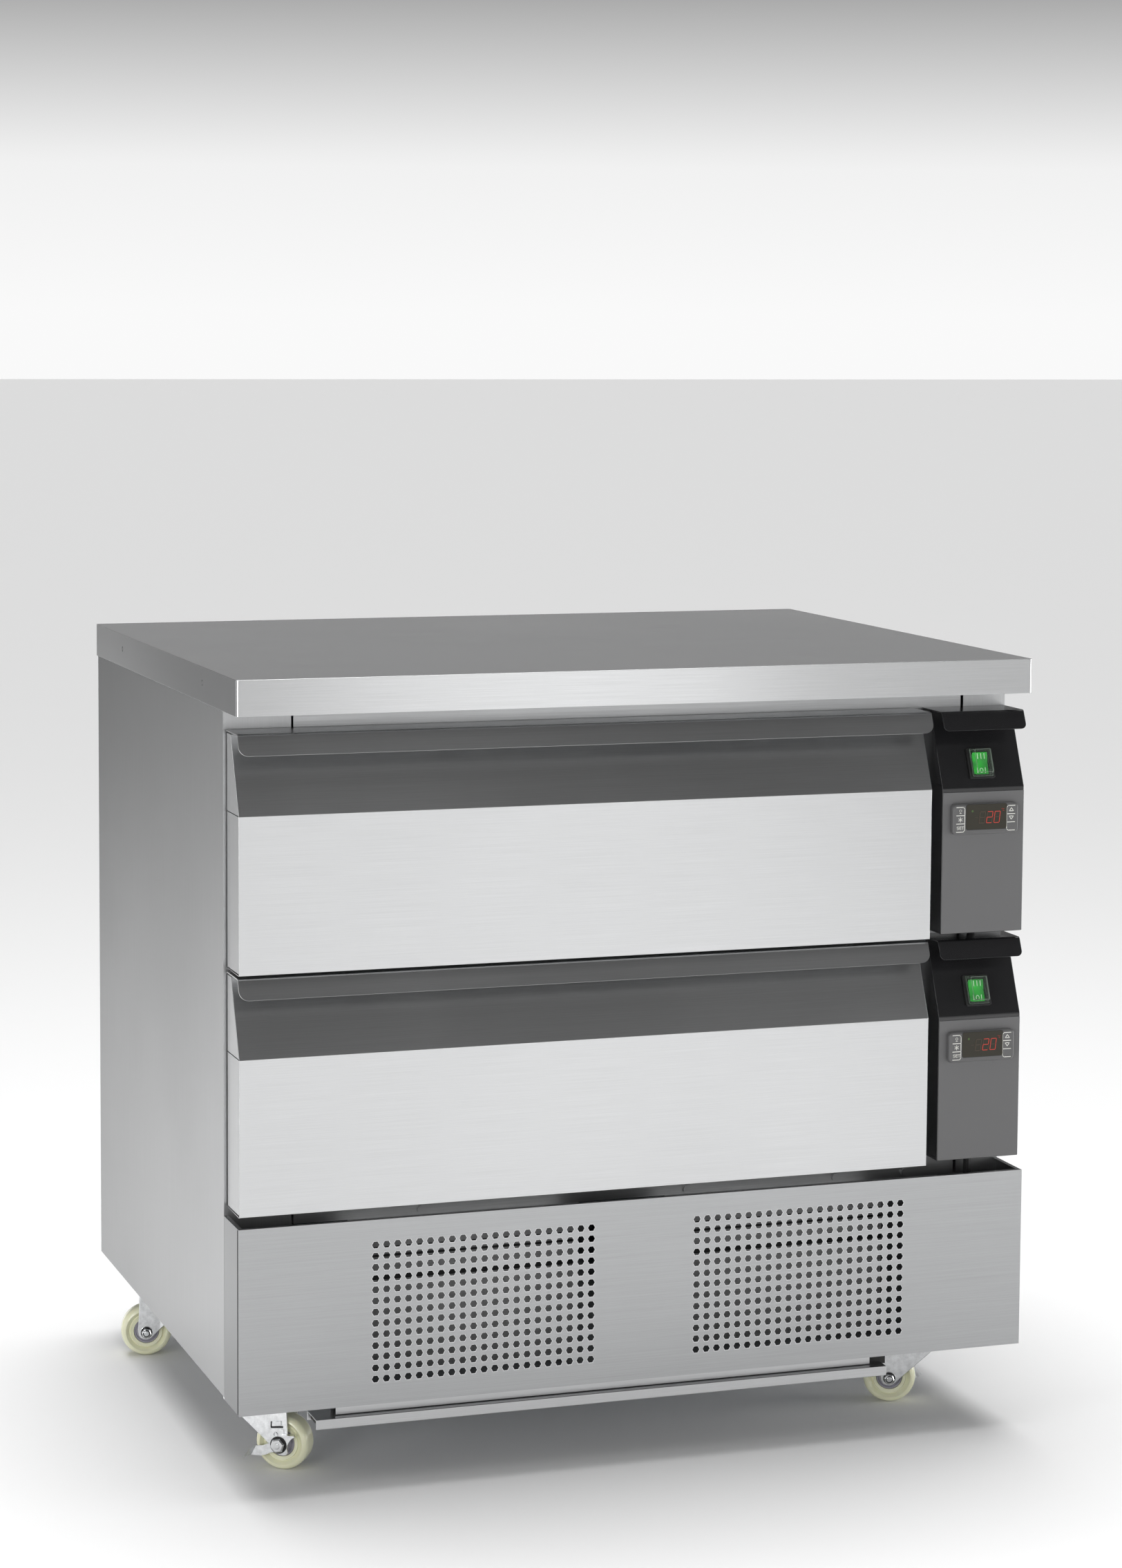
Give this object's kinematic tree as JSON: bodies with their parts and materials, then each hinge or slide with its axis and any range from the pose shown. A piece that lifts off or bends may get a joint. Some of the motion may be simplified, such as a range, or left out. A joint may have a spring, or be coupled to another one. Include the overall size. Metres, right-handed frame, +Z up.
{
  "type": "refrigerated counter",
  "caption": "Low stainless refrigerated counter with stacked full-width drawers, a control module beside each, a perforated front cover and swivel castors.",
  "frame": {"origin": "on the floor under the middle of the worktop", "axes": "+X to the right seen from the front, +Y to the back, +Z up"},
  "size_m": [0.9, 0.7, 0.865],
  "materials": {
    "worktop_steel": "satin, brushed along its length",
    "cabinet_steel": "satin, brushed",
    "drawer_steel": "satin, brushed along its length",
    "handle_steel": "satin, brushed along its length",
    "cover_steel": "satin, brushed along its length",
    "inner_steel": "matt rolled sheet",
    "zinc": "zinc plated",
    "seal_rubber": "soft magnetic gasket",
    "sleeve_rubber": "satin cable sleeve",
    "black_paint": "semi-gloss powder coat",
    "grey_paint": "matt printed overlay",
    "grey_plastic": "fine moulded grain",
    "black_plastic": "moulded",
    "green_plastic": "lit from inside when on",
    "clear_plastic": "clear splash cap",
    "fin_aluminium": "pressed fins",
    "compressor_paint": "gloss enamel",
    "cream_nylon": "moulded, glossy tread"
  },
  "bodies": {
    "cabinet": {"worktop": "worktop_steel", "left_side_panel": "cabinet_steel", "right_side_panel": "cabinet_steel", "back_panel": "cabinet_steel", "ceiling_panel": "cabinet_steel", "bay_divider": "cabinet_steel", "cabinet_floor": "cabinet_steel", "evaporator_housing_top": "inner_steel", "evaporator_housing_bottom": "inner_steel", "module_housing_top": "black_paint", "module_housing_bottom": "black_paint", "module_face_top": "grey_paint", "module_face_bottom": "grey_paint", "controller_top": "grey_plastic", "controller_bottom": "grey_plastic", "switch_frame_top": "black_plastic", "switch_frame_bottom": "black_plastic", "switch_cap_top": "clear_plastic", "switch_cap_bottom": "clear_plastic", "harness_sleeve_top": "sleeve_rubber", "harness_sleeve_bottom": "sleeve_rubber", "front_cover": "cover_steel", "rear_grille": "cabinet_steel", "base_tray": "zinc", "front_rail_upper": "zinc", "front_rail_lower": "cover_steel", "rear_rail": "zinc", "condenser_left": "fin_aluminium", "condenser_right": "fin_aluminium", "compressor_left": "compressor_paint", "compressor_right": "compressor_paint"},
    "drawer_top": {"drawer_front_top": "drawer_steel", "drawer_handle_top": "handle_steel", "drawer_gasket_top": "seal_rubber", "drawer_well_top": "inner_steel"},
    "slides_top": {"slide_left_top": "zinc", "slide_right_top": "zinc"},
    "drawer_bottom": {"drawer_front_bottom": "drawer_steel", "drawer_handle_bottom": "handle_steel", "drawer_gasket_bottom": "seal_rubber", "drawer_well_bottom": "inner_steel"},
    "slides_bottom": {"slide_left_bottom": "zinc", "slide_right_bottom": "zinc"},
    "rocker_top": {"rocker_top": "green_plastic"},
    "rocker_bottom": {"rocker_bottom": "green_plastic"},
    "castor_front_left": {"castor_fork_front_left": "zinc"},
    "wheel_front_left": {"wheel_front_left": "cream_nylon"},
    "brake_front_left": {"brake_pedal_front_left": "zinc"},
    "castor_front_right": {"castor_fork_front_right": "zinc"},
    "wheel_front_right": {"wheel_front_right": "cream_nylon"},
    "brake_front_right": {"brake_pedal_front_right": "zinc"},
    "castor_rear_left": {"castor_fork_rear_left": "zinc"},
    "wheel_rear_left": {"wheel_rear_left": "cream_nylon"},
    "castor_rear_right": {"castor_fork_rear_right": "zinc"},
    "wheel_rear_right": {"wheel_rear_right": "cream_nylon"},
    "condenser_fan_left": {"condenser_fan_left": "black_plastic"},
    "condenser_fan_right": {"condenser_fan_right": "black_plastic"},
    "evaporator_fan_top": {"evaporator_fan_top": "black_plastic"},
    "evaporator_fan_bottom": {"evaporator_fan_bottom": "black_plastic"}
  },
  "joints": [
    {"name": "drawer_top_slide", "type": "slide", "parent": "cabinet", "child": "drawer_top", "axis": [0, -1, 0], "range_m": [0, 0.51]},
    {"name": "slides_top_travel", "type": "slide", "parent": "cabinet", "child": "slides_top", "axis": [0, -1, 0], "range_m": [0, 0.255]},
    {"name": "drawer_bottom_slide", "type": "slide", "parent": "cabinet", "child": "drawer_bottom", "axis": [0, -1, 0], "range_m": [0, 0.51]},
    {"name": "slides_bottom_travel", "type": "slide", "parent": "cabinet", "child": "slides_bottom", "axis": [0, -1, 0], "range_m": [0, 0.255]},
    {"name": "rocker_top_rock", "type": "hinge", "parent": "cabinet", "child": "rocker_top", "pos_m": [0.3965, -0.33051, 0.74824], "axis": [1, 0, 0], "range_deg": [-14, 0]},
    {"name": "rocker_bottom_rock", "type": "hinge", "parent": "cabinet", "child": "rocker_bottom", "pos_m": [0.3965, -0.33051, 0.49424], "axis": [1, 0, 0], "range_deg": [-14, 0]},
    {"name": "castor_front_left_swivel", "type": "hinge", "parent": "cabinet", "child": "castor_front_left", "pos_m": [-0.392, -0.224, 0.09], "axis": [0, 0, 1], "continuous": true},
    {"name": "wheel_front_left_roll", "type": "hinge", "parent": "castor_front_left", "child": "wheel_front_left", "pos_m": [-0.37016, -0.23987, 0.03], "axis": [0.5878, 0.809, 0], "continuous": true},
    {"name": "brake_front_left_pedal", "type": "hinge", "parent": "castor_front_left", "child": "brake_front_left", "pos_m": [-0.37016, -0.23987, 0.03], "axis": [0.5878, 0.809, 0], "range_deg": [0, 18]},
    {"name": "castor_front_right_swivel", "type": "hinge", "parent": "cabinet", "child": "castor_front_right", "pos_m": [0.376, -0.224, 0.09], "axis": [0, 0, 1], "continuous": true},
    {"name": "wheel_front_right_roll", "type": "hinge", "parent": "castor_front_right", "child": "wheel_front_right", "pos_m": [0.35115, -0.21345, 0.03], "axis": [-0.3907, -0.9205, 0], "continuous": true},
    {"name": "brake_front_right_pedal", "type": "hinge", "parent": "castor_front_right", "child": "brake_front_right", "pos_m": [0.35115, -0.21345, 0.03], "axis": [-0.3907, -0.9205, 0], "range_deg": [-8, 10]},
    {"name": "castor_rear_left_swivel", "type": "hinge", "parent": "cabinet", "child": "castor_rear_left", "pos_m": [-0.392, 0.224, 0.09], "axis": [0, 0, 1], "continuous": true},
    {"name": "wheel_rear_left_roll", "type": "hinge", "parent": "castor_rear_left", "child": "wheel_rear_left", "pos_m": [-0.41841, 0.22961, 0.03], "axis": [-0.2079, -0.9781, 0], "continuous": true},
    {"name": "castor_rear_right_swivel", "type": "hinge", "parent": "cabinet", "child": "castor_rear_right", "pos_m": [0.376, 0.224, 0.09], "axis": [0, 0, 1], "continuous": true},
    {"name": "wheel_rear_right_roll", "type": "hinge", "parent": "castor_rear_right", "child": "wheel_rear_right", "pos_m": [0.37131, 0.25059, 0.03], "axis": [-0.9848, -0.1736, 0], "continuous": true},
    {"name": "condenser_fan_left_spin", "type": "hinge", "parent": "cabinet", "child": "condenser_fan_left", "pos_m": [-0.1805, -0.2, 0.1758], "axis": [0, 1, 0], "continuous": true},
    {"name": "condenser_fan_right_spin", "type": "hinge", "parent": "cabinet", "child": "condenser_fan_right", "pos_m": [0.1805, -0.2, 0.1758], "axis": [0, 1, 0], "continuous": true},
    {"name": "evaporator_fan_top_spin", "type": "hinge", "parent": "cabinet", "child": "evaporator_fan_top", "pos_m": [0.33, 0.185, 0.68048], "axis": [1, 0, 0], "continuous": true},
    {"name": "evaporator_fan_bottom_spin", "type": "hinge", "parent": "cabinet", "child": "evaporator_fan_bottom", "pos_m": [0.33, 0.185, 0.43002], "axis": [1, 0, 0], "continuous": true}
  ],
  "couplings": [
    {"joint": "slides_top_travel", "follows": "drawer_top_slide", "ratio": 0.5},
    {"joint": "slides_bottom_travel", "follows": "drawer_bottom_slide", "ratio": 0.5}
  ]
}
